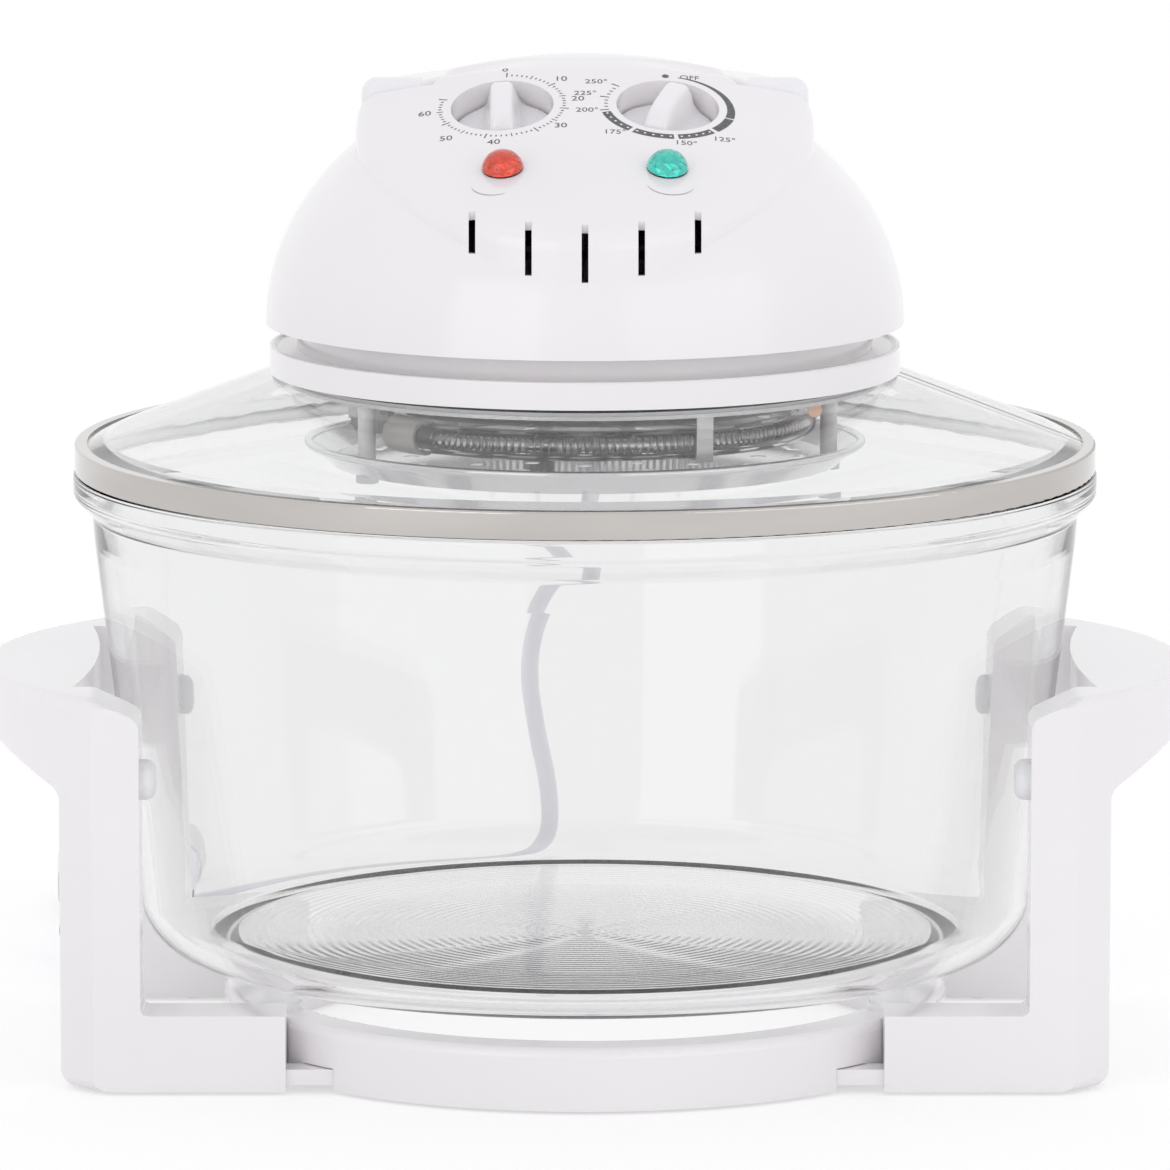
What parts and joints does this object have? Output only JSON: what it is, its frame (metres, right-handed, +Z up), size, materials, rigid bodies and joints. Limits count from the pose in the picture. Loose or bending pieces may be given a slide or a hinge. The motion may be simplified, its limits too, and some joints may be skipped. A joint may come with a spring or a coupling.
{
  "type": "halogen oven",
  "caption": "Glass-bowl halogen oven on a white stand with handles: lift-off glass lid, heating head with dials, fan and ring heater.",
  "frame": {"origin": "on the table under the bowl's axis", "axes": "+Z up, the dials face -Y, the grips point along +X and -X"},
  "size_m": [0.392, 0.4389, 0.3237],
  "materials": {
    "white_plastic": "white moulded plastic, glossy",
    "handle_plastic": "white moulded plastic, glossy",
    "knob_plastic": "white moulded plastic, glossy",
    "foot_rubber": "soft pale rubber, matt",
    "pad_silicone": "milky silicone, satin",
    "screw_steel": "zinc-plated steel",
    "bowl_glass": "clear tempered glass, polished",
    "lid_glass": "clear tempered glass, polished",
    "rim_steel": "rolled stainless steel, polished",
    "seal_rubber": "heat-proof silicone, satin",
    "plate_steel": "bright pressed steel",
    "tray_steel": "chromed pressed steel",
    "sleeve_steel": "bright turned tube",
    "heater_glass": "clear quartz glass",
    "filament": "wound tungsten wire",
    "ceramic": "unglazed white ceramic",
    "fan_steel": "pressed aluminium",
    "fan_plastic": "dark heat-proof plastic",
    "motor_steel": "lacquered laminations",
    "motor_wire": "lacquered copper winding",
    "unit_plastic": "dark moulded plastic",
    "terminal_plastic": "pale moulded plastic",
    "spindle_metal": "turned brass",
    "bulb_copper": "drawn copper",
    "lens_red": "clear red plastic lens",
    "lens_green": "clear green plastic lens",
    "cord_plastic": "white flexible cord sheath, satin",
    "relief_plastic": "white flexible plastic, satin",
    "plug_plastic": "white moulded plastic",
    "pin_brass": "nickel-plated brass"
  },
  "bodies": {
    "stand": {"base_ring": "white_plastic", "right_handle_frame": "white_plastic", "left_handle_frame": "white_plastic", "rubber_feet": "foot_rubber", "ring_screws": "screw_steel", "bowl_pegs": "pad_silicone", "side_pads": "pad_silicone"},
    "lid": {"collar_ring": "white_plastic", "head_base": "white_plastic", "head_cover": "white_plastic", "clamp_screws": "screw_steel", "head_screws": "screw_steel", "handle_pins": "screw_steel", "guard_nuts": "screw_steel", "guard_rods": "screw_steel", "lid_glass": "lid_glass", "lid_rim_band": "rim_steel", "lid_seal": "seal_rubber", "clamp_gasket": "seal_rubber", "mount_plate": "plate_steel", "fan_guard": "plate_steel", "heater_clips": "plate_steel", "heater_leads": "plate_steel", "guard_tray": "tray_steel", "guard_sleeves": "sleeve_steel", "heater_tube": "heater_glass", "heater_filament": "filament", "heater_caps": "ceramic", "motor_stator": "motor_steel", "motor_straps": "motor_steel", "motor_coil": "motor_wire", "timer_unit": "unit_plastic", "thermostat_unit": "unit_plastic", "safety_switch": "unit_plastic", "terminal_block": "terminal_plastic", "thermostat_bulb": "bulb_copper", "power_lamp": "lens_red", "heat_lamp": "lens_green", "power_cord": "cord_plastic", "cord_hank": "cord_plastic", "supply_lead": "cord_plastic", "strain_relief": "relief_plastic", "plug_body": "plug_plastic", "plug_pins": "pin_brass"},
    "bowl": {"glass_bowl": "bowl_glass"},
    "timer_dial": {"timer_knob": "knob_plastic", "timer_spindle": "spindle_metal"},
    "thermostat_dial": {"thermostat_knob": "knob_plastic", "thermostat_spindle": "spindle_metal"},
    "carrying_handle": {"carry_handle": "handle_plastic"},
    "safety_catch": {"safety_button": "knob_plastic"},
    "fan": {"rotor": "motor_steel", "cooling_fan": "fan_plastic", "convection_fan": "fan_steel"}
  },
  "joints": [
    {"name": "bowl_lift", "type": "slide", "parent": "stand", "child": "bowl", "axis": [0, 0, 1], "range_m": [0, 0.12]},
    {"name": "lid_lift", "type": "slide", "parent": "bowl", "child": "lid", "axis": [0, 0, 1], "range_m": [0, 0.12]},
    {"name": "timer_turn", "type": "hinge", "parent": "lid", "child": "timer_dial", "pos_m": [-0.02564, -0.01476, 0.29666], "axis": [-0.0662, -0.3883, 0.9192], "range_deg": [-286, 0]},
    {"name": "thermostat_turn", "type": "hinge", "parent": "lid", "child": "thermostat_dial", "pos_m": [0.02564, -0.01476, 0.29666], "axis": [0.0662, -0.3883, 0.9192], "range_deg": [-169, 132]},
    {"name": "handle_fold", "type": "hinge", "parent": "lid", "child": "carrying_handle", "pos_m": [0, 0.006, 0.307], "axis": [1, 0, 0], "range_deg": [0, 90]},
    {"name": "catch_travel", "type": "slide", "parent": "lid", "child": "safety_catch", "axis": [0, 0, 1], "range_m": [0, 0.0025]},
    {"name": "fan_spin", "type": "hinge", "parent": "lid", "child": "fan", "pos_m": [0, 0, 0.25], "axis": [0, 0, 1], "continuous": true}
  ],
  "couplings": [
    {"joint": "catch_travel", "follows": "handle_fold", "m_per_rad": 0.0015915}
  ]
}
